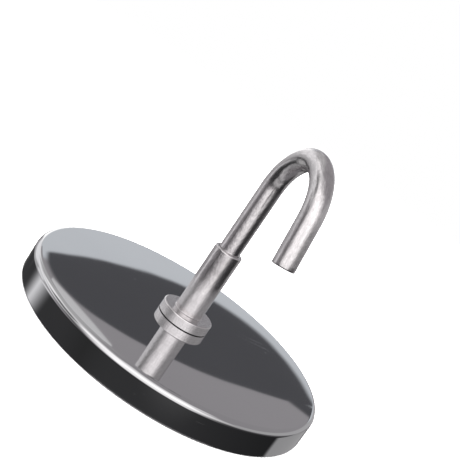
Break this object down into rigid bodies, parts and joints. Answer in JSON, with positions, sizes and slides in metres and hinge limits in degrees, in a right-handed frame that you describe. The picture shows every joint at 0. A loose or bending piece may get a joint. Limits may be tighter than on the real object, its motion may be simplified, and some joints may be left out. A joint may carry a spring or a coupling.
{
  "type": "magnetic hook",
  "caption": "Round flat magnet in a mirror-bright steel cup, with a flanged sleeve at its centre and a bent wire hook that turns in the sleeve.",
  "frame": {"origin": "centre of the flat gripping face, which the part stands on", "axes": "+Z from the gripping face up the axis of the sleeve and the hook's shank, +X towards the hook's free leg"},
  "size_m": [0.067, 0.067, 0.0513],
  "materials": {
    "mirror_plate": "mirror-bright plating on pressed steel",
    "ferrite": "ground, matt, dark grey",
    "bedding_resin": "cast black resin",
    "satin_nickel": "satin nickel plate with a fine lengthwise grain",
    "zinc_plate": "bright zinc plate"
  },
  "bodies": {
    "magnet_base": {"steel_cup": "mirror_plate", "ring_magnet": "ferrite", "resin_ring": "bedding_resin", "threaded_sleeve": "satin_nickel", "spring_washer": "zinc_plate", "hex_nut": "zinc_plate"},
    "hook": {"wire_hook": "satin_nickel"}
  },
  "joints": [
    {"name": "hook_turn", "type": "hinge", "parent": "magnet_base", "child": "hook", "pos_m": [0, 0, 0.0186], "axis": [0, 0, 1], "continuous": true}
  ]
}
